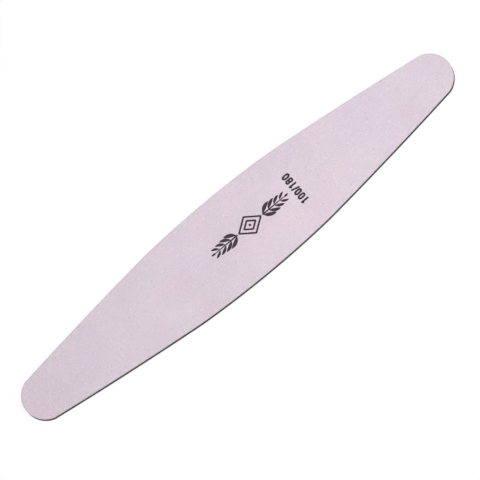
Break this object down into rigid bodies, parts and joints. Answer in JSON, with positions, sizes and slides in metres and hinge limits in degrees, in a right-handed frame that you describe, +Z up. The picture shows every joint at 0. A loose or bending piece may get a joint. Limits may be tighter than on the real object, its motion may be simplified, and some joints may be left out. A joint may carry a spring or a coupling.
{
  "type": "nail file",
  "caption": "Flat lozenge-shaped nail file with a coarse side, a fine side, a stiff dark core and rounded tips.",
  "frame": {"origin": "middle of the underside, on the surface that the file lies on", "axes": "+X along the file's length, +Y across its width, +Z up out of the coarse side"},
  "size_m": [0.178, 0.0316, 0.0028],
  "materials": {
    "core_plastic": "matt, dark charcoal",
    "adhesive": "clear acrylic film",
    "paper": "dense latex paper",
    "bond_resin": "cured resin, tinted lilac",
    "abrasive_grain": "rough mineral grain",
    "top_coat": "matt, pale lilac, gritty"
  },
  "bodies": {
    "root": {"lower_top_coat": "top_coat", "lower_grain_coat": "abrasive_grain", "lower_make_coat": "bond_resin", "lower_paper_backing": "paper", "lower_adhesive_film": "adhesive", "core_board": "core_plastic", "upper_adhesive_film": "adhesive", "upper_paper_backing": "paper", "upper_make_coat": "bond_resin", "upper_grain_coat": "abrasive_grain", "upper_top_coat": "top_coat"}
  },
  "joints": []
}
